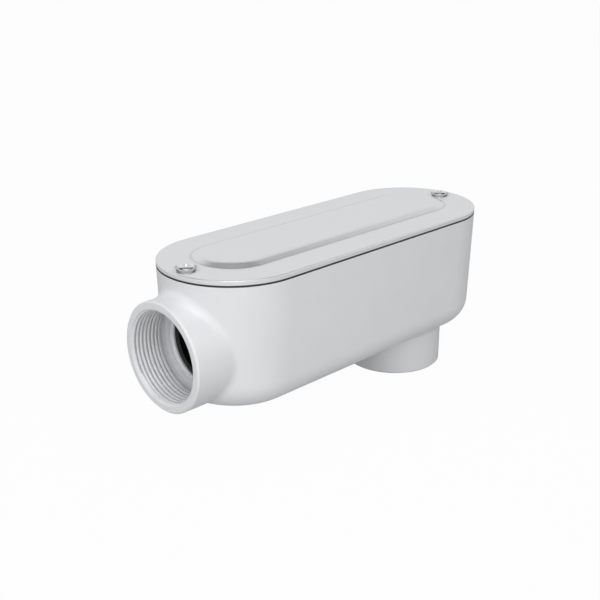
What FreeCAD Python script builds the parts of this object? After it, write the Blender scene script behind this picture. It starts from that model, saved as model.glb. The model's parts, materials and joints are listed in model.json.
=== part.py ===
import FreeCAD, Part
import math
import os
import Sketcher
from FreeCAD import Placement, Rotation, Vector

# Conduit body with one threaded hub on its end and one on its back.
# Frame: the origin is the centre of the back hub's mouth, +Z runs up through the cover,
# and the end hub opens towards -X. Every body is drawn about the joint face, where the
# gasket lies on the housing, and is then placed in the frame.

SIZES = (
    # housing
    ("arc_spacing", 134.1, "between the centres of the two round ends"),
    ("side_beyond_hub", 10.2, "side wall at the joint face beyond the side of a hub"),
    ("body_draft", 1.5, "draft of the outside and inside walls, in degrees"),
    ("body_edge_round", 15.0, "outside round between the walls and the bottom"),
    ("wall_thickness", 3.0, "wall at the joint face"),
    ("floor_thickness", 3.2, "bottom of the cavity"),
    ("cavity_corner", 8.0, "inside slope between the walls and the floor"),
    # hubs
    ("hub_wall", 4.0, "thickness of a hub's wall around its thread"),
    ("hub_rim_chamfer", 0.8, "outer edge of a hub's mouth"),
    ("end_hub_reach", 9.25, "mouth of the end hub beyond the round end"),
    ("end_hub_below_joint", 9.2, "top of the end hub below the joint face"),
    ("end_hub_above_bottom", 1.2, "underside of the end hub above the flat bottom"),
    ("end_hub_blend", 5.0, "hollow round between the end hub and the wall"),
    ("back_shoulder_drop", 1.1, "shoulder in the back hub below the flat bottom"),
    ("back_hub_inset", 48.25, "axis of the back hub inwards from the round end"),
    ("back_hub_slope", 1.6, "hollow slope between the back hub and the bottom"),
    # threaded bores, the same in both hubs
    ("thread_radius", 24.0, "wall of the bore that carries the pipe thread"),
    ("thread_depth", 21.6, "mouth to the shoulder that stops the conduit"),
    ("mouth_chamfer", 0.35, "inner edge of the mouth"),
    ("bushing_length", 5.5, "shoulder to the inner end of the end hub"),
    ("shoulder_step", 4.6, "thread's wall to the smooth way through for the wires"),
    ("throat_chamfer", 1.2, "lips of the throat at the shoulder and in the cavity"),
    # screws and their bosses
    ("screw_inset", 8.25, "axis of a cover screw inwards from the round end"),
    ("boss_radius", 6.0, "screw boss, and the eye of the gasket"),
    ("boss_embed", 0.3, "how far a boss runs into the end wall at the joint face"),
    ("tap_depth", 10.0, "tapped hole below the joint face"),
    ("screw_thread_radius", 2.35, "outside of the screw's shank"),
    ("screw_length", 9.5, "below the head"),
    ("tap_play", 0.05, "shank to the wall of the tapped hole"),
    ("shank_play", 0.35, "shank to the hole in the cover and the gasket"),
    ("head_radius", 4.8, "pan head"),
    ("head_height", 3.2, "pan head"),
    ("head_side", 1.1, "straight side of the head"),
    ("shoulder_radius", 4.3, "where the head's side turns into its crown"),
    ("shoulder_height", 2.4, "the same place above the underside"),
    ("crown_radius", 3.1, "flat top of the head"),
    ("recess_reach", 2.7, "arm of the cross recess from its middle"),
    ("recess_width", 1.3, "width of an arm of the cross recess"),
    ("recess_depth", 1.7, "cross recess"),
    # gasket
    ("gasket_thickness", 1.0, "pressed between housing and cover"),
    ("gasket_width", 4.5, "ring, from its outer edge"),
    # cover
    ("cover_thickness", 2.3, "plate"),
    ("cover_edge_chamfer", 0.8, "upper outer edge"),
    ("rim_width", 16.9, "cover's edge to the foot of the raised middle"),
    ("plateau_height", 1.8, "raised middle above the rim"),
    ("plateau_slope", 6.0, "width of the sloping border"),
    ("seat_radius", 5.4, "flat bottom of a screw seat"),
    ("seat_mouth_radius", 7.0, "screw seat at the rim's surface"),
    ("seat_depth", 1.2, "screw seat"),
)

doc = FreeCAD.newDocument("conduit_body")
sheet = doc.addObject("Spreadsheet::Sheet", "sizes")
for row, (alias, number, meaning) in enumerate(SIZES, start=1):
    sheet.set(f"A{row}", alias.replace("_", " "))
    sheet.set(f"B{row}", str(number))
    sheet.setAlias(f"B{row}", alias)
    sheet.set(f"C{row}", meaning)
doc.recompute()

# Places that follow from the sizes, as expressions on the sheet
HUB_RADIUS = "(sizes.thread_radius + sizes.hub_wall)"
HALF_WIDTH = f"({HUB_RADIUS} + sizes.side_beyond_hub)"
HALF_SPACING = "sizes.arc_spacing / 2"
HALF_LENGTH = f"({HALF_SPACING} + {HALF_WIDTH})"
THROAT_RADIUS = "(sizes.thread_radius - sizes.shoulder_step)"
END_HUB_DROP = f"(sizes.end_hub_below_joint + {HUB_RADIUS})"
BODY_DEPTH = f"({END_HUB_DROP} + {HUB_RADIUS} + sizes.end_hub_above_bottom)"
BACK_HUB_X = f"({HALF_LENGTH} - sizes.back_hub_inset)"
BACK_HUB_REACH = "(sizes.thread_depth + sizes.back_shoulder_drop)"
JOINT_FACE_HEIGHT = f"({BODY_DEPTH} + {BACK_HUB_REACH})"
CAVITY_DEPTH = f"({BODY_DEPTH} - sizes.floor_thickness)"
END_HUB_MOUTH = f"-({HALF_LENGTH} + sizes.end_hub_reach)"
END_HUB_LENGTH = "(sizes.thread_depth + sizes.bushing_length)"
BACK_HUB_LENGTH = f"({BACK_HUB_REACH} + sizes.floor_thickness)"
TAP_RADIUS = "(sizes.screw_thread_radius + sizes.tap_play)"
SHANK_HOLE_RADIUS = "(sizes.screw_thread_radius + sizes.shank_play)"
SCREW_X = f"({HALF_LENGTH} - sizes.screw_inset)"
SCREW_PLACES = (f"-{SCREW_X}", SCREW_X)
PLATEAU_FOOT = f"({HALF_WIDTH} - sizes.rim_width)"


def value(expression):
    """The number that an expression on the sheet gives, a length in mm or an angle in degrees."""
    return float(sheet.evalExpression(expression))


def make_body(name, x="0", z="0"):
    """A body placed in the part's frame, at x from the middle and z above the joint face."""
    body = doc.addObject("PartDesign::Body", name)
    body.Label = name
    body.setExpression(".Placement.Base.x", f"{x} - {BACK_HUB_X}")
    body.setExpression(".Placement.Base.z", f"{z} + {JOINT_FACE_HEIGHT}")
    return body


def make_sketch(body, name, plane, offset=("0", "0", "0"), turn=0):
    """A sketch on one of the body's own planes, moved by offset and turned about its normal."""
    sketch = body.newObject("Sketcher::SketchObject", name)
    origin_plane = [item for item in body.Origin.OriginFeatures if item.Role == plane][0]
    sketch.AttachmentSupport = [(origin_plane, "")]
    sketch.MapMode = "FlatFace"
    sketch.AttachmentOffset = Placement(Vector(), Rotation(Vector(0, 0, 1), turn))
    for axis, expression in zip("xyz", offset):
        sketch.setExpression(f".AttachmentOffset.Base.{axis}", expression)
    return sketch


def constrain(sketch, kind, where, expression):
    """Adds a dimension and binds it to the sheet."""
    index = sketch.addConstraint(Sketcher.Constraint(kind, *where, value(expression)))
    sketch.setExpression(f"Constraints[{index}]", expression)


def draw_circle(sketch, x, radius):
    """A circle with its centre on the sketch's X axis."""
    centre = Vector(value(x), 0, 0)
    index = sketch.addGeometry(Part.Circle(centre, Vector(0, 0, 1), value(radius)), False)
    constrain(sketch, "Radius", (index,), radius)
    sketch.addConstraint(Sketcher.Constraint("PointOnObject", index, 3, -1))
    constrain(sketch, "DistanceX", (-1, 1, index, 3), x)


def draw_obround(sketch, radius):
    """The round-ended outline about the sketch's origin, with its round ends arc_spacing apart."""
    r = value(radius)
    half = value(HALF_SPACING)
    up = Vector(0, 0, 1)
    quarter = math.pi / 2
    right = Part.ArcOfCircle(Part.Circle(Vector(half, 0, 0), up, r), -quarter, quarter)
    left = Part.ArcOfCircle(Part.Circle(Vector(-half, 0, 0), up, r), quarter, 3 * quarter)
    back = Part.LineSegment(Vector(half, r, 0), Vector(-half, r, 0))
    front = Part.LineSegment(Vector(-half, -r, 0), Vector(half, -r, 0))
    first = sketch.GeometryCount
    sketch.addGeometry([right, back, left, front], False)
    for step in range(4):
        following = first + (step + 1) % 4
        sketch.addConstraint(Sketcher.Constraint("Tangent", first + step, 2, following, 1))
    sketch.addConstraint(Sketcher.Constraint("Symmetric", first, 3, first + 2, 3, -1, 1))
    sketch.addConstraint(Sketcher.Constraint("PointOnObject", first, 3, -1))
    constrain(sketch, "Radius", (first,), radius)
    constrain(sketch, "DistanceX", (-1, 1, first, 3), HALF_SPACING)


def draw_polygon(sketch, corners):
    """A closed outline of straight edges. Each corner is a pair of expressions from the origin."""
    points = [Vector(value(x), value(y), 0) for x, y in corners]
    first = sketch.GeometryCount
    for start, end in zip(points, points[1:] + points[:1]):
        sketch.addGeometry(Part.LineSegment(start, end), False)
    for step in range(len(points)):
        following = first + (step + 1) % len(points)
        sketch.addConstraint(Sketcher.Constraint("Coincident", first + step, 2, following, 1))
    for step, (x, y) in enumerate(corners):
        if x == "0":
            sketch.addConstraint(Sketcher.Constraint("PointOnObject", first + step, 1, -2))
        else:
            constrain(sketch, "DistanceX", (-1, 1, first + step, 1), x)
        if y == "0":
            sketch.addConstraint(Sketcher.Constraint("PointOnObject", first + step, 1, -1))
        else:
            constrain(sketch, "DistanceY", (-1, 1, first + step, 1), y)


def sweep(body, kind, name, sketch, length, reverse=False, taper="0"):
    """A pad or a pocket of the sketch."""
    feature = body.newObject(f"PartDesign::{kind}", name)
    feature.Profile = sketch
    feature.Reversed = reverse
    feature.setExpression("Length", length)
    feature.setExpression("TaperAngle", taper)
    sketch.Visibility = False
    doc.recompute()
    return feature


def turn_about_axis(body, kind, name, sketch, axis="H_Axis"):
    """A revolution or a groove of the sketch about one of its own axes."""
    feature = body.newObject(f"PartDesign::{kind}", name)
    feature.Profile = sketch
    feature.ReferenceAxis = (sketch, [axis])
    feature.Angle = 360
    doc.recompute()
    return feature


def dress(body, kind, name, edges, size):
    """A fillet or a chamfer on named edges of the body's last feature."""
    base = body.Tip
    feature = body.newObject(f"PartDesign::{kind}", name)
    feature.Base = (base, edges)
    feature.setExpression("Radius" if kind == "Fillet" else "Size", size)
    doc.recompute()
    return feature


def edges_where(shape, test):
    """The names of the edges that pass a test."""
    return [f"Edge{number}" for number, edge in enumerate(shape.Edges, start=1) if test(edge)]


def lies_at_height(z):
    """A test for edges that lie flat at one height."""
    return lambda edge: abs(edge.BoundBox.ZMin - z) < 1e-4 and abs(edge.BoundBox.ZMax - z) < 1e-4


def is_circle(radius, *centres):
    """A test for full or part circles of one radius about any of the given centres."""
    def test(edge):
        curve = edge.Curve
        if not isinstance(curve, Part.Circle) or abs(curve.Radius - radius) > 1e-4:
            return False
        return any(curve.Center.distanceToPoint(centre) < 1e-4 for centre in centres)
    return test


def meeting_edges(shape, radius, mouth):
    """The names of the edges in which a hub's outside meets the box."""
    is_mouth = is_circle(radius, mouth)
    walls = [face for face in shape.Faces if isinstance(face.Surface, Part.Cylinder)]
    wall = [face for face in walls if any(is_mouth(edge) for edge in face.Edges)][0]
    meeting = [edge for edge in wall.Edges if not is_mouth(edge) and not edge.isSeam(wall)]
    return edges_where(shape, lambda edge: any(edge.isSame(other) for other in meeting))


def draw_boss(sketch):
    """A screw boss's outline: round towards the middle, with straight sides back into the end wall."""
    x = value(SCREW_X)
    r = value("sizes.boss_radius")
    root = f"{HALF_LENGTH} - sizes.wall_thickness + sizes.boss_embed"
    far = value(root)
    quarter = math.pi / 2
    sketch.addGeometry([
        Part.ArcOfCircle(Part.Circle(Vector(x, 0, 0), Vector(0, 0, 1), r), quarter, 3 * quarter),
        Part.LineSegment(Vector(x, -r, 0), Vector(far, -r, 0)),
        Part.LineSegment(Vector(far, -r, 0), Vector(far, r, 0)),
        Part.LineSegment(Vector(far, r, 0), Vector(x, r, 0)),
    ], False)
    sketch.addConstraint(Sketcher.Constraint("Tangent", 0, 2, 1, 1))
    sketch.addConstraint(Sketcher.Constraint("Coincident", 1, 2, 2, 1))
    sketch.addConstraint(Sketcher.Constraint("Coincident", 2, 2, 3, 1))
    sketch.addConstraint(Sketcher.Constraint("Tangent", 3, 2, 0, 1))
    sketch.addConstraint(Sketcher.Constraint("Vertical", 2))
    sketch.addConstraint(Sketcher.Constraint("PointOnObject", 0, 3, -1))
    constrain(sketch, "Radius", (0,), "sizes.boss_radius")
    constrain(sketch, "DistanceX", (-1, 1, 0, 3), SCREW_X)
    constrain(sketch, "DistanceX", (-1, 1, 1, 2), root)


def draw_bore(sketch, depth):
    """Half the section of a hub's bore, from the axis out, with the mouth at the sketch's origin."""
    draw_polygon(sketch, [
        ("0", "0"),
        ("0", "sizes.thread_radius"),
        ("sizes.thread_depth", "sizes.thread_radius"),
        ("sizes.thread_depth", THROAT_RADIUS),
        (depth, THROAT_RADIUS),
        (depth, "0"),
    ])


def make_housing():
    body = make_body("housing")
    bottom = -value(BODY_DEPTH)
    end_mouth = Vector(value(END_HUB_MOUTH), 0, -value(END_HUB_DROP))
    back_mouth = Vector(value(BACK_HUB_X), 0, -value(JOINT_FACE_HEIGHT))
    end_offset = (END_HUB_MOUTH, f"-{END_HUB_DROP}", "0")
    back_offset = (BACK_HUB_X, f"-{JOINT_FACE_HEIGHT}", "0")

    # the box
    sketch = make_sketch(body, "outside_outline", "XY_Plane")
    draw_obround(sketch, HALF_WIDTH)
    sweep(body, "Pad", "outside", sketch, BODY_DEPTH, reverse=True, taper="-sizes.body_draft")
    sketch = make_sketch(body, "cavity_outline", "XY_Plane")
    draw_obround(sketch, f"{HALF_WIDTH} - sizes.wall_thickness")
    sweep(body, "Pocket", "cavity", sketch, CAVITY_DEPTH, taper="-sizes.body_draft")
    edges = edges_where(body.Tip.Shape, lies_at_height(-value(CAVITY_DEPTH)))
    dress(body, "Chamfer", "cavity_slope", edges, "sizes.cavity_corner")

    # screw bosses, from the joint face to the floor
    sketch = make_sketch(body, "boss_outline", "XY_Plane")
    draw_boss(sketch)
    boss = sweep(body, "Pad", "boss", sketch, CAVITY_DEPTH, reverse=True)
    mirrored = body.newObject("PartDesign::Mirrored", "bosses")
    mirrored.Originals = [boss]
    mirror_plane = [item for item in body.Origin.OriginFeatures if item.Role == "YZ_Plane"][0]
    mirrored.MirrorPlane = (mirror_plane, [""])
    body.Tip = mirrored
    doc.recompute()
    edges = edges_where(body.Tip.Shape, lies_at_height(bottom))
    dress(body, "Fillet", "outside_round", edges, "sizes.body_edge_round")

    # hubs, each turned about its own axis with the mouth at the sketch's origin
    sketch = make_sketch(body, "end_hub_outside", "XZ_Plane", end_offset)
    draw_polygon(sketch, [
        ("0", "0"),
        ("0", HUB_RADIUS),
        (END_HUB_LENGTH, HUB_RADIUS),
        (END_HUB_LENGTH, "0"),
    ])
    turn_about_axis(body, "Revolution", "end_hub", sketch)
    sketch = make_sketch(body, "back_hub_outside", "XZ_Plane", back_offset, turn=90)
    draw_polygon(sketch, [
        ("0", "0"),
        ("0", HUB_RADIUS),
        (BACK_HUB_LENGTH, HUB_RADIUS),
        (BACK_HUB_LENGTH, "0"),
    ])
    turn_about_axis(body, "Revolution", "back_hub", sketch)

    # hollow rounds where the hubs leave the box
    hub_radius = value(HUB_RADIUS)
    edges = meeting_edges(body.Tip.Shape, hub_radius, end_mouth)
    dress(body, "Fillet", "end_hub_blend", edges, "sizes.end_hub_blend")
    edges = meeting_edges(body.Tip.Shape, hub_radius, back_mouth)
    dress(body, "Chamfer", "back_hub_slope", edges, "sizes.back_hub_slope")

    # bores: threaded wall, shoulder and throat
    sketch = make_sketch(body, "end_bore", "XZ_Plane", end_offset)
    draw_bore(sketch, f"{END_HUB_LENGTH} + sizes.wall_thickness")
    turn_about_axis(body, "Groove", "end_hub_bore", sketch)
    sketch = make_sketch(body, "back_bore", "XZ_Plane", back_offset, turn=90)
    draw_bore(sketch, f"{BACK_HUB_LENGTH} + sizes.wall_thickness")
    turn_about_axis(body, "Groove", "back_hub_bore", sketch)
    edges = edges_where(body.Tip.Shape, is_circle(hub_radius, end_mouth, back_mouth))
    dress(body, "Chamfer", "hub_rim_chamfer", edges, "sizes.hub_rim_chamfer")
    edges = edges_where(body.Tip.Shape, is_circle(value("sizes.thread_radius"), end_mouth, back_mouth))
    dress(body, "Chamfer", "mouth_chamfer", edges, "sizes.mouth_chamfer")
    inward = value("sizes.thread_depth")
    lips = [
        end_mouth + Vector(inward, 0, 0),
        end_mouth + Vector(value(END_HUB_LENGTH), 0, 0),
        back_mouth + Vector(0, 0, inward),
        back_mouth + Vector(0, 0, value(BACK_HUB_LENGTH)),
    ]
    edges = edges_where(body.Tip.Shape, is_circle(value(THROAT_RADIUS), *lips))
    dress(body, "Chamfer", "throat_lips", edges, "sizes.throat_chamfer")

    # tapped holes in the bosses
    sketch = make_sketch(body, "tap_centres", "XY_Plane")
    for x in SCREW_PLACES:
        draw_circle(sketch, x, TAP_RADIUS)
    sweep(body, "Pocket", "tapped_holes", sketch, "sizes.tap_depth")
    return body


def make_gasket():
    body = make_body("gasket")
    sketch = make_sketch(body, "outer_outline", "XY_Plane")
    draw_obround(sketch, HALF_WIDTH)
    sweep(body, "Pad", "sheet", sketch, "sizes.gasket_thickness")
    sketch = make_sketch(body, "window_outline", "XY_Plane")
    draw_obround(sketch, f"{HALF_WIDTH} - sizes.gasket_width")
    sweep(body, "Pocket", "window", sketch, "sizes.gasket_thickness", reverse=True)
    sketch = make_sketch(body, "eye_outlines", "XY_Plane")
    for x in SCREW_PLACES:
        draw_circle(sketch, x, "sizes.boss_radius")
    sweep(body, "Pad", "eyes", sketch, "sizes.gasket_thickness")
    sketch = make_sketch(body, "hole_outlines", "XY_Plane")
    for x in SCREW_PLACES:
        draw_circle(sketch, x, SHANK_HOLE_RADIUS)
    sweep(body, "Pocket", "screw_holes", sketch, "sizes.gasket_thickness", reverse=True)
    return body


def loft_plateau(body, kind, name, height):
    """The raised middle between its foot at the given height and its crest, added or cut away."""
    foot = make_sketch(body, f"{name}_foot", "XY_Plane", ("0", "0", height))
    draw_obround(foot, PLATEAU_FOOT)
    crest = make_sketch(body, f"{name}_crest", "XY_Plane", ("0", "0", f"{height} + sizes.plateau_height"))
    draw_obround(crest, f"{PLATEAU_FOOT} - sizes.plateau_slope")
    feature = body.newObject(f"PartDesign::{kind}", name)
    feature.Profile = foot
    feature.Sections = [crest]
    feature.Ruled = True
    doc.recompute()


def make_cover():
    body = make_body("cover", z="sizes.gasket_thickness")
    sketch = make_sketch(body, "plate_outline", "XY_Plane")
    draw_obround(sketch, HALF_WIDTH)
    sweep(body, "Pad", "plate", sketch, "sizes.cover_thickness")
    edges = edges_where(body.Tip.Shape, lies_at_height(value("sizes.cover_thickness")))
    dress(body, "Chamfer", "edge_chamfer", edges, "sizes.cover_edge_chamfer")
    loft_plateau(body, "AdditiveLoft", "plateau", "sizes.cover_thickness")
    loft_plateau(body, "SubtractiveLoft", "plateau_underside", "0")

    # sunk seats and holes of the screws
    top = ("0", "0", "sizes.cover_thickness")
    sketch = make_sketch(body, "seat_mouths", "XY_Plane", top)
    for x in SCREW_PLACES:
        draw_circle(sketch, x, "sizes.seat_mouth_radius")
    taper = "-atan((sizes.seat_mouth_radius - sizes.seat_radius) / sizes.seat_depth)"
    sweep(body, "Pocket", "screw_seats", sketch, "sizes.seat_depth", taper=taper)
    sketch = make_sketch(body, "hole_outlines", "XY_Plane", top)
    for x in SCREW_PLACES:
        draw_circle(sketch, x, SHANK_HOLE_RADIUS)
    sweep(body, "Pocket", "screw_holes", sketch, "sizes.cover_thickness")
    return body


def make_screw(name, x):
    """A pan head screw that stands on the seat in the cover, drawn about the underside of its head."""
    seat = "sizes.gasket_thickness + sizes.cover_thickness - sizes.seat_depth"
    body = make_body(name, x, seat)
    sketch = make_sketch(body, "outline", "XZ_Plane")
    draw_polygon(sketch, [
        ("0", "-sizes.screw_length"),
        ("sizes.screw_thread_radius", "-sizes.screw_length"),
        ("sizes.screw_thread_radius", "0"),
        ("sizes.head_radius", "0"),
        ("sizes.head_radius", "sizes.head_side"),
        ("sizes.shoulder_radius", "sizes.shoulder_height"),
        ("sizes.crown_radius", "sizes.head_height"),
        ("0", "sizes.head_height"),
    ])
    turn_about_axis(body, "Revolution", "turned", sketch, axis="V_Axis")
    sketch = make_sketch(body, "cross", "XY_Plane", ("0", "0", "sizes.head_height"))
    arm = "sizes.recess_reach"
    half = "sizes.recess_width / 2"
    draw_polygon(sketch, [
        (arm, half), (half, half), (half, arm), (f"-{half}", arm), (f"-{half}", half), (f"-{arm}", half),
        (f"-{arm}", f"-{half}"), (f"-{half}", f"-{half}"), (f"-{half}", f"-{arm}"), (half, f"-{arm}"),
        (half, f"-{half}"), (arm, f"-{half}"),
    ])
    sweep(body, "Pocket", "cross_recess", sketch, "sizes.recess_depth")
    return body


parts = [
    make_housing(),
    make_gasket(),
    make_cover(),
    make_screw("cover_screw_end_hub", SCREW_PLACES[0]),
    make_screw("cover_screw_back_hub", SCREW_PLACES[1]),
]
doc.recompute()

for item in doc.Objects:
    if "Invalid" in item.State or "Error" in item.State:
        raise RuntimeError(f"{item.Label} didn't recompute: {item.State}")
for part in parts:
    if part.Shape.isNull() or not part.Shape.isValid() or len(part.Shape.Solids) != 1:
        raise RuntimeError(f"{part.Label} isn't one valid solid")

os.makedirs("parts", exist_ok=True)
for part in parts:
    part.Shape.exportStep(f"parts/{part.Label}.step")
    box = part.Shape.optimalBoundingBox(False)
    print(f"{part.Label}: {part.Shape.Volume / 1000:.2f} cm3, x {box.XMin:.2f} to {box.XMax:.2f}, "
          f"y {box.YMin:.2f} to {box.YMax:.2f}, z {box.ZMin:.2f} to {box.ZMax:.2f}")
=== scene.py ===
import json
import math

import bpy
from mathutils import Matrix, Vector


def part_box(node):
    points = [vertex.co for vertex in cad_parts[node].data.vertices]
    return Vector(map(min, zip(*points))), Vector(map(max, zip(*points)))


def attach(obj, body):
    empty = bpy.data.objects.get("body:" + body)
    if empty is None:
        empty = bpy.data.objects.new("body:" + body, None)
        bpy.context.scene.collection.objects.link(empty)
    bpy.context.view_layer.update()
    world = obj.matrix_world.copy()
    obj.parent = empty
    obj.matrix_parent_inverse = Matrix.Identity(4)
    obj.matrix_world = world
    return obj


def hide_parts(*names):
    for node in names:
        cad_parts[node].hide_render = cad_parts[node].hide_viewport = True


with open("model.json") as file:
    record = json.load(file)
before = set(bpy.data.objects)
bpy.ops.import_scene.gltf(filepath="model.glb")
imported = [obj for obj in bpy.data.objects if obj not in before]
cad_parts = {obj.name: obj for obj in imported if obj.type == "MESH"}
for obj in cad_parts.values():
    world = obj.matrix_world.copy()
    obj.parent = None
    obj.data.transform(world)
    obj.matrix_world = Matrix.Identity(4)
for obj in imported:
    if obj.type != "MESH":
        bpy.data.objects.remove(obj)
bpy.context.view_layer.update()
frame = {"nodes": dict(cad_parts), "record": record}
print("frame loaded")

mm = 0.001
weld = 1e-6
fineWeld = 1e-7

# the centres of the round ends of the box and its cover, and the screws' places, along X
endCentres = (-124.05 * mm, 10.05 * mm)
screwPlaces = (-154.0 * mm, 40.0 * mm)


def deselectAll():
    for thing in bpy.context.selected_objects:
        thing.select_set(False)


def pick(piece):
    # the one piece that the next steps work on
    deselectAll()
    piece.select_set(True)
    bpy.context.view_layer.objects.active = piece


def startEditing(piece):
    pick(piece)
    bpy.ops.object.mode_set(mode="EDIT")


def selectWhere(kind, test):
    # picks the vertices or the faces of the piece in edit mode that pass a test
    mesh = bpy.context.view_layer.objects.active.data
    bpy.ops.mesh.select_mode(type="VERT")
    bpy.ops.mesh.select_all(action="DESELECT")
    bpy.ops.mesh.select_mode(type=kind)
    bpy.ops.object.mode_set(mode="OBJECT")
    for item in mesh.vertices if kind == "VERT" else mesh.polygons:
        item.select = bool(test(item))
    bpy.ops.object.mode_set(mode="EDIT")


def selectRims():
    # picks the open edges of the piece in edit mode
    bpy.ops.mesh.select_mode(type="EDGE")
    bpy.ops.mesh.select_all(action="DESELECT")
    bpy.ops.mesh.select_non_manifold(extend=False)


def movePiece(piece, turn=None, shift=None):
    # turns and shifts the mesh itself, so that the object stays at the origin
    pick(piece)
    if turn:
        piece.rotation_euler = turn
    if shift:
        piece.location = shift
    bpy.ops.object.transform_apply(location=True, rotation=True, scale=True)


def mergeAndFaceOut(piece):
    startEditing(piece)
    bpy.ops.mesh.select_all(action="SELECT")
    bpy.ops.mesh.remove_doubles(threshold=weld)
    bpy.ops.mesh.normals_make_consistent(inside=False)
    bpy.ops.object.mode_set(mode="OBJECT")


def smoothByAngle(piece, degrees):
    pick(piece)
    bpy.ops.object.shade_smooth_by_angle(angle=math.radians(degrees))


def drawLine(name, points):
    # a chain of edges: a plane is shrunk to its first point, and the rest are pulled out of it
    deselectAll()
    bpy.ops.mesh.primitive_plane_add(size=mm, location=points[0])
    piece = bpy.context.object
    piece.name = name
    bpy.ops.object.mode_set(mode="EDIT")
    bpy.ops.mesh.select_mode(type="VERT")
    bpy.ops.mesh.select_all(action="SELECT")
    bpy.ops.mesh.merge(type="CENTER")
    for start, end in zip(points, points[1:]):
        bpy.ops.mesh.extrude_vertices_move(
            TRANSFORM_OT_translate={"value": tuple(Vector(end) - Vector(start))})
    bpy.ops.object.mode_set(mode="OBJECT")
    movePiece(piece)
    return piece


def closeLine(piece):
    # joins the last point of a drawn chain to its first
    ends = {}
    for edge in piece.data.edges:
        for corner in edge.vertices:
            ends[corner] = ends.get(corner, 0) + 1
    startEditing(piece)
    selectWhere("VERT", lambda vertex: ends.get(vertex.index) == 1)
    bpy.ops.mesh.edge_face_add()
    bpy.ops.object.mode_set(mode="OBJECT")


def screwLine(piece, axis, climb, turns, steps):
    # sweeps a drawn chain round an axis of the origin
    twist = piece.modifiers.new("twist", "SCREW")
    twist.axis = axis
    twist.angle = 2 * math.pi
    twist.screw_offset = climb
    twist.iterations = turns
    twist.steps = steps
    twist.render_steps = steps
    twist.use_merge_vertices = climb == 0
    twist.merge_threshold = fineWeld
    pick(piece)
    bpy.ops.object.modifier_apply(modifier=twist.name)


def capHoles(piece):
    startEditing(piece)
    selectRims()
    bpy.ops.mesh.fill_holes(sides=0)
    bpy.ops.mesh.select_all(action="SELECT")
    bpy.ops.mesh.normals_make_consistent(inside=False)
    bpy.ops.object.mode_set(mode="OBJECT")


def cutOff(piece, point, normal):
    # trims away what lies in front of a plane and closes the cut
    startEditing(piece)
    bpy.ops.mesh.select_all(action="SELECT")
    bpy.ops.mesh.bisect(plane_co=point, plane_no=normal, use_fill=False, clear_outer=True)
    bpy.ops.object.mode_set(mode="OBJECT")
    capHoles(piece)


def copyOf(piece, name):
    # a twin with a mesh of its own
    pick(piece)
    bpy.ops.object.duplicate(linked=False)
    twin = bpy.context.object
    twin.name = name
    return twin


def joinPieces(main, other):
    pick(main)
    other.select_set(True)
    bpy.ops.object.join()


def cutWith(piece, tool):
    # takes a tool's shape out of a piece, and then throws the tool away
    cut = piece.modifiers.new("cut", "BOOLEAN")
    cut.object = tool
    cut.operation = "DIFFERENCE"
    cut.solver = "EXACT"
    pick(piece)
    bpy.ops.object.modifier_apply(modifier=cut.name)
    bpy.data.objects.remove(tool)


class Wire:
    # one output of a shader's nodes, which takes part in sums as a number does
    def __init__(self, tree, socket):
        self.tree = tree
        self.socket = socket

    def out(self, name):
        # another output of the same node
        return Wire(self.tree, self.socket.node.outputs[name])

    def sum(self, operation, first, second):
        return addNode(self.tree, "ShaderNodeMath", {"operation": operation}, {0: first, 1: second})

    def __add__(self, other):
        return self.sum("ADD", self, other)

    def __radd__(self, other):
        return self.sum("ADD", other, self)

    def __sub__(self, other):
        return self.sum("SUBTRACT", self, other)

    def __rsub__(self, other):
        return self.sum("SUBTRACT", other, self)

    def __mul__(self, other):
        return self.sum("MULTIPLY", self, other)

    def __rmul__(self, other):
        return self.sum("MULTIPLY", other, self)

    def __lt__(self, other):
        return self.sum("LESS_THAN", self, other)

    def __gt__(self, other):
        return self.sum("GREATER_THAN", self, other)

    def __abs__(self):
        return self.sum("ABSOLUTE", self, 0)

    def root(self):
        return self.sum("SQRT", self, 0)

    def atLeast(self, other):
        return self.sum("MAXIMUM", self, other)


def addNode(tree, kind, settings=None, values=None, output=0):
    # one node: its settings first, then the values or wires of its sockets
    node = tree.nodes.new(kind)
    for name, value in (settings or {}).items():
        setattr(node, name, value)
    for name, value in (values or {}).items():
        if isinstance(value, Wire):
            tree.links.new(value.socket, node.inputs[name])
        else:
            node.inputs[name].default_value = value
    return Wire(tree, node.outputs[output]) if node.outputs else None


def splitAxes(place):
    first = addNode(place.tree, "ShaderNodeSeparateXYZ", None, {0: place})
    return first, first.out("Y"), first.out("Z")


def noise(place, size, detail):
    # cloudy noise from 0 to 1 whose lumps are about one size across, in metres
    return addNode(place.tree, "ShaderNodeTexNoise", {"noise_dimensions": "3D"},
                   {"Vector": place, "Scale": 1 / size, "Detail": detail})


def ease(value, start, end, first, last):
    # goes smoothly from the first result to the last one while a value goes from start to end
    return addNode(value.tree, "ShaderNodeMapRange", {"interpolation_type": "SMOOTHSTEP"},
                   {"Value": value, "From Min": start, "From Max": end, "To Min": first, "To Max": last})


def mixColours(share, first, second):
    # the Mix node's colours are its sockets 6 and 7, and their mixture is its output 2
    return addNode(share.tree, "ShaderNodeMix", {"data_type": "RGBA"},
                   {"Factor": share, 6: (*first, 1), 7: (*second, 1)}, 2)


def dim(colour, share):
    return addNode(colour.tree, "ShaderNodeVectorMath", {"operation": "SCALE"}, {0: colour, "Scale": share})


def bumpOf(height):
    # the slopes of a height in metres
    return addNode(height.tree, "ShaderNodeBump", None, {"Height": height, "Distance": 1.0, "Strength": 1.0})


def tint(*tones):
    # the linear colour of tones given from 0 to 255 as a screen shows them
    shares = [tone / 255 for tone in tones]
    return tuple(share / 12.92 if share <= 0.04045 else ((share + 0.055) / 1.055) ** 2.4 for share in shares)


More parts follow.
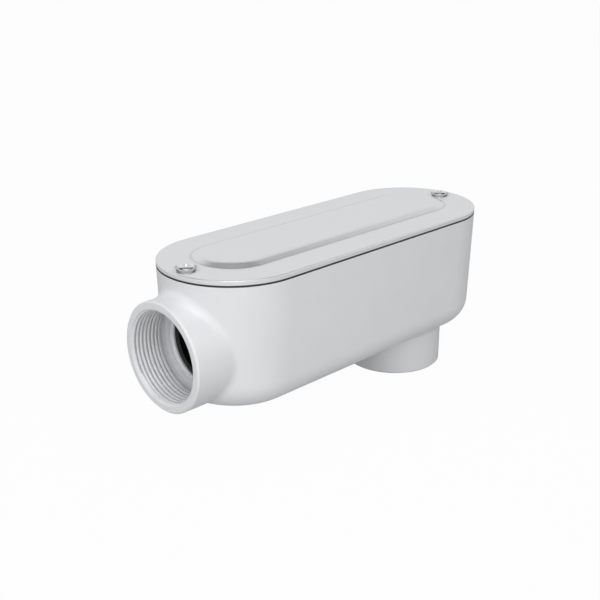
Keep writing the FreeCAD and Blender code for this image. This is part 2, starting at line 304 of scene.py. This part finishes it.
def newMaterial(name, constants):
    # a material, its shader and the place on the object, in metres
    material = bpy.data.materials.new(name)
    material.use_nodes = True
    shader = material.node_tree.nodes["Principled BSDF"]
    for socket, value in constants.items():
        shader.inputs[socket].default_value = value
    return material, shader, addNode(material.node_tree, "ShaderNodeTexCoord", output="Object")


def plug(shader, wires):
    for socket, wire in wires.items():
        wire.tree.links.new(wire.socket, shader.inputs[socket])


def giveMaterial(piece, material):
    piece.data.materials.clear()
    piece.data.materials.append(material)


def fromMiddleLine(x, y):
    # how far a point is from the line that joins the centres of the round ends
    middle = (endCentres[0] + endCentres[1]) / 2
    half = (endCentres[1] - endCentres[0]) / 2
    past = (abs(x - middle) - half).atLeast(0)
    return (past * past + y * y).root()


# where the painted shade of the box's cavity lies, and how dark it is
hollow = {
    "rim": 89.1 * mm,
    "draft": math.tan(math.radians(1.5)),
    "flat": 24.7 * mm,
    "roundFrom": 36.0 * mm,
    "round": 11.3 * mm,
    "from": -147.8 * mm,
    "floor": 25.7 * mm,
    "paintedShade": 0.12,
}


def paintedCavityShade(place):
    # painted shade: 1 on the outside and in the hubs, dark on the unlit walls of the box's cavity
    x, y, z = splitAxes(place)
    reach = fromMiddleLine(x, y) + (hollow["rim"] - z) * hollow["draft"]
    across = (reach - hollow["flat"]).atLeast(0)
    down = (hollow["roundFrom"] - z).atLeast(0)
    inside = (across * across + down * down).root() < hollow["round"]
    inside = inside * (x > hollow["from"]) * (z > hollow["floor"])
    return 1 - inside * (1 - hollow["paintedShade"])


# where the painted shade along the foot of the cover's raised middle lies, and how dark it is
crease = {
    "at": 21.2 * mm,
    "halfWidth": 1.3 * mm,
    "above": 92.0 * mm,
    "paintedShade": 0.81,
}


def paintedCreaseShade(place):
    # painted shade: 1 all over the cover, a little darker along the foot of its raised middle
    x, y, z = splitAxes(place)
    away = abs(fromMiddleLine(x, y) - crease["at"])
    line = ease(away, 0.0, crease["halfWidth"], 1 - crease["paintedShade"], 0.0)
    return 1 - line * (z > crease["above"])


paint = {
    "cloudSize": 14 * mm,
    "grainSize": 0.45 * mm,
    "grainHeight": 0.0018 * mm,
    "waveSize": 5 * mm,
    "waveHeight": 0.009 * mm,
    "roughnessSpread": 0.08,
    "glassiness": 1.5,
}
housingPaint = {
    "name": "housing_paint",
    "light": (220, 221, 223),
    "dark": (215, 216, 218),
    "metallic": 0.25,
    "roughness": 0.44,
    # the painted shade of the box's cavity darkens the housing's colour
    "paintedShade": paintedCavityShade,
}
coverPaint = {
    "name": "cover_paint",
    "light": (229, 230, 232),
    "dark": (224, 225, 227),
    "metallic": 0.72,
    "roughness": 0.23,
    # the painted shade along the crease darkens the cover's colour
    "paintedShade": paintedCreaseShade,
}


def makePaint(coat):
    # grey paint with a fine grain, a little wavy as on a casting
    constants = {"Metallic": coat["metallic"], "IOR": paint["glassiness"]}
    material, shader, place = newMaterial(coat["name"], constants)
    clouds = noise(place, paint["cloudSize"], detail=3)
    grain = noise(place, paint["grainSize"], detail=2)
    wave = noise(place, paint["waveSize"], detail=1)
    colour = mixColours(clouds, tint(*coat["dark"]), tint(*coat["light"]))
    plug(shader, {
        # the colour is darkened by the coat's painted shade
        "Base Color": dim(colour, coat["paintedShade"](place)),
        "Roughness": coat["roughness"] - paint["roughnessSpread"] / 2 + clouds * paint["roughnessSpread"],
        "Normal": bumpOf(grain * paint["grainHeight"] + wave * paint["waveHeight"]),
    })
    return material


rubber = {
    "colour": (34, 34, 36),
    "lighter": 1.5,
    "roughness": 0.72,
    "cloudSize": 6 * mm,
    "grainSize": 0.3 * mm,
    "grainHeight": 0.01 * mm,
}


def makeRubber():
    material, shader, place = newMaterial("gasket_rubber", {"Roughness": rubber["roughness"]})
    clouds = noise(place, rubber["cloudSize"], detail=2)
    grain = noise(place, rubber["grainSize"], detail=2)
    deep = tint(*rubber["colour"])
    plug(shader, {
        "Base Color": mixColours(clouds, deep, [share * rubber["lighter"] for share in deep]),
        "Normal": bumpOf(grain * rubber["grainHeight"]),
    })
    return material


steel = {
    "light": (250, 252, 252),
    "dark": (236, 238, 238),
    "roughness": 0.14,
    "roughnessSpread": 0.12,
    "cloudSize": 1.6 * mm,
    "grainSize": 0.15 * mm,
    "grainHeight": 0.002 * mm,
    "crown": 3.3 * mm,
    "flank": 4.5 * mm,
    "flankPaintedShade": 0.66,
}


def makeSteel():
    # bright steel, with a painted shade that makes the flank of each head darker than its crown
    material, shader, place = newMaterial("screw_steel", {"Metallic": 1.0})
    clouds = noise(place, steel["cloudSize"], detail=3)
    grain = noise(place, steel["grainSize"], detail=1)
    x, y, _ = splitAxes(place)
    middle = (screwPlaces[0] + screwPlaces[1]) / 2
    along = abs(x - middle) - (screwPlaces[1] - screwPlaces[0]) / 2
    radius = (along * along + y * y).root()
    # painted shade on the flank of each head, from the crown's edge outwards
    paintedFlankShade = ease(radius, steel["crown"], steel["flank"], 1.0, steel["flankPaintedShade"])
    plug(shader, {
        "Base Color": dim(mixColours(clouds, tint(*steel["dark"]), tint(*steel["light"])), paintedFlankShade),
        "Roughness": steel["roughness"] + clouds * steel["roughnessSpread"],
        "Normal": bumpOf(grain * steel["grainHeight"]),
    })
    return material


housingCoat = makePaint(housingPaint)
coverCoat = makePaint(coverPaint)
gasketRubber = makeRubber()
screwSteel = makeSteel()
giveMaterial(frame["nodes"]["housing"], housingCoat)
giveMaterial(frame["nodes"]["gasket"], gasketRubber)
print("materials made")


thread = {
    "pitch": 2.209 * mm,
    "wall": 24.0 * mm,
    "embed": 0.03 * mm,
    "proud": 0.01 * mm,
    "rootSlack": 0.005 * mm,
    "depth": 0.75 * mm,
    "rootShare": 0.99,
    "crestShare": 0.55,
    "start": 0.36 * mm,
    "end": 17.7 * mm,
    "turnsBefore": 1.2,
    "taper": 1 / 32,
    "leadRadius": 24.3 * mm,
    "leadSlope": 1.2,
    "fadeFrom": 14.6 * mm,
    "fadeLoss": 0.75,
    "steps": 120,
    "smooth": 66,
}


def threadRadius(radius, along, root):
    # the thread tapers inwards, its first turn is cut by the mouth's countersink and its last ones fade
    fade = max(0, (along - thread["fadeFrom"]) / (thread["end"] - thread["fadeFrom"]))
    ridge = (root - radius) * (1 - thread["fadeLoss"] * fade)
    cone = thread["leadRadius"] - thread["leadSlope"] * along
    return max(root - ridge - thread["taper"] * along, min(root, cone))


def makeThread(name):
    # one helical ridge, drawn along +X from the mouth
    outer = thread["wall"] + thread["embed"]
    root = thread["wall"] - thread["proud"]
    crest = thread["wall"] - thread["depth"]
    foot = thread["pitch"] / 2 * thread["rootShare"]
    tip = thread["pitch"] / 2 * thread["crestShare"]
    first = thread["start"] - thread["turnsBefore"] * thread["pitch"]
    profile = [(-foot, outer), (-foot, root), (-tip, crest), (tip, crest), (foot, root), (foot, outer)]
    piece = drawLine(name, [(first + along, 0, up) for along, up in profile])
    closeLine(piece)
    turns = math.ceil((thread["end"] - first) / thread["pitch"]) + 1
    screwLine(piece, "X", thread["pitch"], turns, thread["steps"])
    capHoles(piece)
    for vertex in piece.data.vertices:
        radius = math.hypot(vertex.co.y, vertex.co.z)
        if radius <= root + thread["rootSlack"]:
            wanted = threadRadius(radius, max(vertex.co.x, 0), root)
            vertex.co.y *= wanted / radius
            vertex.co.z *= wanted / radius
    cutOff(piece, (thread["start"], 0, 0), (-1, 0, 0))
    cutOff(piece, (thread["end"], 0, 0), (1, 0, 0))
    mergeAndFaceOut(piece)
    return piece


def fitThread(piece, mouth, turn=None):
    # turns a thread and shifts it into its hub
    movePiece(piece, turn, mouth)
    smoothByAngle(piece, thread["smooth"])
    giveMaterial(piece, housingCoat)
    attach(piece, "root")


mounts = {mount["name"]: mount["pos_m"] for mount in frame["record"]["mounts"]}
upwards = (0, -math.pi / 2, 0)
endThread = makeThread("end_hub_thread")
backThread = copyOf(endThread, "back_hub_thread")
fitThread(endThread, mounts["end_hub"])
fitThread(backThread, mounts["back_hub"], upwards)
print("threads made")


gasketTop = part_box("gasket")[1].z
cover = {
    "bottom": gasketTop,
    "thickness": 2.3 * mm,
    "edgeRound": 0.7 * mm,
    "edgeSteps": 6,
    "halfWidth": 38.2 * mm,
    "plateauFoot": 21.6 * mm,
    "plateauHeight": 1.8 * mm,
    "plateauLean": math.radians(22),
    "footRound": 2.0 * mm,
    "crestRound": 10.0 * mm,
    "slopeSteps": 7,
    "ledge": 0.2 * mm,
    "arcSteps": 96,
    "seatMouth": 7.0 * mm,
    "seatFloor": 5.4 * mm,
    "seatDepth": 1.2 * mm,
    "seatSides": 72,
    "hole": 2.7 * mm,
    "holeSides": 48,
    "toolLift": 1 * mm,
    "toolLength": 10 * mm,
    "smooth": 28,
}


def slopeSection():
    # the border of the raised middle, from the rim inwards: pairs of distance and height
    height, lean, steps = cover["plateauHeight"], cover["plateauLean"], cover["slopeSteps"]
    foot, crest = cover["footRound"], cover["crestRound"]
    rise = height - (foot + crest) * (1 - math.cos(lean))
    run = (foot + crest) * math.sin(lean) + rise / math.tan(lean)
    points = []
    for step in range(steps + 1):
        angle = lean * step / steps
        points.append((foot * math.sin(angle), foot * (1 - math.cos(angle))))
    for step in range(steps + 1):
        angle = lean * (1 - step / steps)
        points.append((run - crest * math.sin(angle), height - crest * (1 - math.cos(angle))))
    return points


def coverSection():
    # half the plate's section, from the middle of the top out over the edge and back underneath
    width, edge, high = cover["halfWidth"], cover["edgeRound"], cover["thickness"]
    raised, ledge, steps = cover["plateauHeight"], cover["ledge"], cover["edgeSteps"]
    border = [(cover["plateauFoot"] - along, up) for along, up in slopeSection()]
    outside, inside = border[0][0] + ledge, border[-1][0] - ledge
    top = [(0, high + raised), (inside, high + raised)]
    top += [(across, high + up) for across, up in reversed(border)]
    top += [(outside, high), (width - edge - ledge, high)]
    for step in range(steps + 1):
        angle = math.pi / 2 * step / steps
        top.append((width - edge + edge * math.sin(angle), high - edge + edge * math.cos(angle)))
    return top + [(width, 0), (outside, 0)] + border + [(inside, raised), (0, raised)]


def stretchRound(piece, spacing):
    # pulls a round piece about the origin apart into two half rounds and bridges the gap
    startEditing(piece)
    selectWhere("FACE", lambda face: face.center.x < 0)
    bpy.ops.mesh.split()
    bpy.ops.transform.translate(value=(-spacing, 0, 0))
    selectRims()
    bpy.ops.mesh.bridge_edge_loops()
    bpy.ops.object.mode_set(mode="OBJECT")
    mergeAndFaceOut(piece)


def cutScrewSeat(piece, place):
    # a shallow cone that is open at the top, and the hole below it
    lift, deep = cover["toolLift"], cover["seatDepth"]
    widen = (cover["seatMouth"] - cover["seatFloor"]) / deep
    floor = cover["bottom"] + cover["thickness"] - deep
    deselectAll()
    bpy.ops.mesh.primitive_cone_add(
        vertices=cover["seatSides"], radius1=cover["seatFloor"], radius2=cover["seatMouth"] + lift * widen,
        depth=deep + lift, location=(place, 0, floor + (deep + lift) / 2))
    seat = bpy.context.object
    movePiece(seat)
    cutWith(piece, seat)
    deselectAll()
    bpy.ops.mesh.primitive_cylinder_add(vertices=cover["holeSides"], radius=cover["hole"],
                                        depth=cover["toolLength"], location=(place, 0, cover["bottom"]))
    hole = bpy.context.object
    movePiece(hole)
    cutWith(piece, hole)


def makeCover():
    piece = drawLine("cover_plate", [(across, 0, up) for across, up in coverSection()])
    screwLine(piece, "Z", 0, 1, cover["arcSteps"])
    mergeAndFaceOut(piece)
    stretchRound(piece, endCentres[1] - endCentres[0])
    movePiece(piece, None, (endCentres[1], 0, cover["bottom"]))
    for place in screwPlaces:
        cutScrewSeat(piece, place)
    smoothByAngle(piece, cover["smooth"])
    giveMaterial(piece, coverCoat)
    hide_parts("cover")
    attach(piece, "root")


makeCover()
print("cover made")


screw = {
    "seat": gasketTop + cover["thickness"] - cover["seatDepth"],
    "headRadius": 4.8 * mm,
    "headHeight": 3.2 * mm,
    "side": 0.45 * mm,
    "under": 0.2 * mm,
    "crownSteps": 14,
    "crownPower": 0.35,
    "roundSteps": 72,
    "shank": 2.05 * mm,
    "length": 9.5 * mm,
    "tip": 0.6 * mm,
    "recessReach": 3.1 * mm,
    "recessWidth": 1.0 * mm,
    "recessDepth": 1.1 * mm,
    "recessTaper": (0.4, 0.72, 1),
    "downward": -0.9,
    "turns": (math.radians(38), math.radians(70)),
    "smooth": 32,
}
ridge = {
    "pitch": 1.058 * mm,
    "crest": 2.35 * mm,
    "embed": 0.03 * mm,
    "footShare": 0.8,
    "crestShare": 0.15,
    "from": 0.5 * mm,
    "cutAt": 0.25 * mm,
    "unthreaded": 1.2 * mm,
    "steps": 36,
}


def headSection():
    # from the axis at the top, over the crowned head and down the shank to the axis at the tip
    radius, height, side = screw["headRadius"], screw["headHeight"], screw["side"]
    shank, length, tip, steps = screw["shank"], screw["length"], screw["tip"], screw["crownSteps"]
    points = [(0, height)]
    for step in range(1, steps + 1):
        angle = math.pi / 2 * step / steps
        up = side + (height - side) * math.cos(angle) ** screw["crownPower"]
        points.append((radius * math.sin(angle), up))
    points += [(radius, screw["under"]), (radius - screw["under"], 0)]
    return points + [(shank, 0), (shank, tip - length), (shank - tip, -length), (0, -length)]


def cutRecess(piece):
    # a cross whose arms are narrower towards the bottom
    for quarter in (0, math.pi / 2):
        deselectAll()
        bpy.ops.mesh.primitive_cube_add(
            size=1, location=(0, 0, screw["headHeight"]),
            scale=(2 * screw["recessReach"], screw["recessWidth"], 2 * screw["recessDepth"]))
        arm = bpy.context.object
        movePiece(arm)
        startEditing(arm)
        selectWhere("FACE", lambda face: face.normal.z < screw["downward"])
        bpy.ops.transform.resize(value=screw["recessTaper"])
        bpy.ops.object.mode_set(mode="OBJECT")
        movePiece(arm, (0, 0, quarter))
        cutWith(piece, arm)


def makeRidge():
    # the thread of the shank
    half = ridge["pitch"] / 2
    foot, tip = half * ridge["footShare"], half * ridge["crestShare"]
    root, crest = screw["shank"] - ridge["embed"], ridge["crest"]
    low = ridge["from"] - screw["length"]
    piece = drawLine("ridge", [(root, 0, low - foot), (crest, 0, low - tip), (crest, 0, low + tip),
                               (root, 0, low + foot)])
    closeLine(piece)
    turns = int((screw["length"] - ridge["unthreaded"]) / ridge["pitch"])
    screwLine(piece, "Z", ridge["pitch"], turns, ridge["steps"])
    capHoles(piece)
    cutOff(piece, (0, 0, ridge["cutAt"] - screw["length"]), (0, 0, -1))
    return piece


def makeScrew(name):
    piece = drawLine(name, [(across, 0, up) for across, up in headSection()])
    screwLine(piece, "Z", 0, 1, screw["roundSteps"])
    mergeAndFaceOut(piece)
    cutRecess(piece)
    joinPieces(piece, makeRidge())
    return piece


def driveScrew(piece, node, place, turn):
    # onto its seat, with its recess left at a turn of its own
    movePiece(piece, (0, 0, turn), (place, 0, screw["seat"]))
    smoothByAngle(piece, screw["smooth"])
    giveMaterial(piece, screwSteel)
    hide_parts(node)
    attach(piece, "root")


endScrew = makeScrew("end_hub_pan_screw")
backScrew = copyOf(endScrew, "back_hub_pan_screw")
driveScrew(endScrew, "cover_screw_end_hub", screwPlaces[0], screw["turns"][0])
driveScrew(backScrew, "cover_screw_back_hub", screwPlaces[1], screw["turns"][1])
print("screws made")


studio = {
    "floorHalf": 4.0,
    "floorShade": 0.51,
    "floorShown": 0.97,
    "mirroredNear": 0.12,
    "mirroredFar": 0.4,
    "nearReach": 0.25,
    "farReach": 0.8,
    "skyLow": 0.79,
    "skyHigh": 0.03,
    "fadeFrom": math.sin(math.radians(34)),
    "fadeTo": math.sin(math.radians(54)),
    "ambient": 0.54,
}


def makeFloor():
    # the camera sees it nearly white under the object's shadow
    deselectAll()
    bpy.ops.mesh.primitive_plane_add(size=2 * studio["floorHalf"], location=(0, 0, 0))
    floor = bpy.context.object
    floor.name = "floor"
    material = bpy.data.materials.new("pale_floor")
    material.use_nodes = True
    tree = material.node_tree
    tree.nodes.clear()
    rays = addNode(tree, "ShaderNodeLightPath")
    mirrored = rays.out("Is Glossy Ray").atLeast(rays.out("Is Transmission Ray"))
    # reflections see a dim floor close to the object and a paler one further out: a painted shadow under the
    # object, which only reflections show
    place = addNode(tree, "ShaderNodeTexCoord", output="Object")
    distance = addNode(tree, "ShaderNodeVectorMath", {"operation": "LENGTH"}, {0: place}, "Value")
    paintedReflectedShadow = ease(distance, studio["nearReach"], studio["farReach"],
                 studio["mirroredNear"], studio["mirroredFar"])
    shown = rays.out("Is Camera Ray") * studio["floorShown"] + mirrored * paintedReflectedShadow
    grey = studio["floorShade"]
    matt = addNode(tree, "ShaderNodeBsdfDiffuse", None, {"Color": (grey, grey, grey, 1)})
    white = addNode(tree, "ShaderNodeEmission", None, {"Strength": 1.0})
    blend = addNode(tree, "ShaderNodeMixShader", None, {0: shown, 1: matt, 2: white})
    addNode(tree, "ShaderNodeOutputMaterial", None, {"Surface": blend})
    giveMaterial(floor, material)


def makeWorld():
    # white to the camera, a sky that darkens upwards in reflections, even light for the rest
    world = bpy.data.worlds.new("studio")
    bpy.context.scene.world = world
    world.use_nodes = True
    tree = world.node_tree
    tree.nodes.clear()
    rays = addNode(tree, "ShaderNodeLightPath")
    up = splitAxes(addNode(tree, "ShaderNodeTexCoord", output="Generated"))[2]
    fade = ease(up, studio["fadeFrom"], studio["fadeTo"], studio["skyLow"], studio["skyHigh"])
    glossy = rays.out("Is Glossy Ray")
    see = rays.out("Is Camera Ray").atLeast(rays.out("Is Transmission Ray"))
    strength = see + (1 - see) * (glossy * fade + (1 - glossy) * studio["ambient"])
    background = addNode(tree, "ShaderNodeBackground", None, {"Color": (1, 1, 1, 1), "Strength": strength})
    addNode(tree, "ShaderNodeOutputWorld", None, {"Surface": background})


lampsAim = Vector((-0.057, 0, 0.06))
lamps = {
    "top_softbox": {
        "azimuth": 219, "height": 80, "distance": 0.8, "size": 0.8, "power": 1.75, "mirrored": True},
    "front_softbox": {
        "azimuth": 217, "height": 31, "distance": 0.8, "size": 0.9, "power": 3.7, "mirrored": False},
    "side_softbox": {
        "azimuth": 235, "height": 14, "distance": 0.8, "size": 0.9, "power": 1.4, "mirrored": False},
    "glint_softbox": {
        "azimuth": 224, "height": 52, "distance": 0.7, "size": 0.3, "power": 0.4, "mirrored": True},
}


def makeLamps():
    for name, lamp in lamps.items():
        data = bpy.data.lights.new(name, "AREA")
        data.shape = "SQUARE"
        data.size = lamp["size"]
        data.energy = lamp["power"]
        thing = bpy.data.objects.new(name, data)
        bpy.context.scene.collection.objects.link(thing)
        thing.visible_glossy = lamp["mirrored"]
        turn, lift = math.radians(lamp["azimuth"]), math.radians(lamp["height"])
        offset = lamp["distance"] * Vector((math.cos(lift) * math.cos(turn), math.cos(lift) * math.sin(turn),
                                            math.sin(lift)))
        thing.location = lampsAim + offset
        thing.rotation_euler = (-offset).to_track_quat("-Z", "Y").to_euler()


view = {
    "from": Vector((-423.4, -346.9, 243.0)) * mm,
    "to": Vector((-85.2, -6.8, 60.0)) * mm,
    "roll": -0.0020034,
    "lens": 58.783,
    "sensor": 36,
    "nearest": 0.01,
}


def makeCamera():
    data = bpy.data.cameras.new("camera")
    data.sensor_width = view["sensor"]
    data.lens = view["lens"]
    data.clip_start = view["nearest"]
    camera = bpy.data.objects.new("camera", data)
    bpy.context.scene.collection.objects.link(camera)
    look = (view["to"] - view["from"]).to_track_quat("-Z", "Y").to_matrix().to_4x4()
    camera.matrix_world = Matrix.Translation(view["from"]) @ look @ Matrix.Rotation(view["roll"], 4, "Z")
    bpy.context.scene.camera = camera


makeFloor()
makeWorld()
makeLamps()
makeCamera()
bpy.context.scene.view_settings.view_transform = "Standard"
print("studio made")
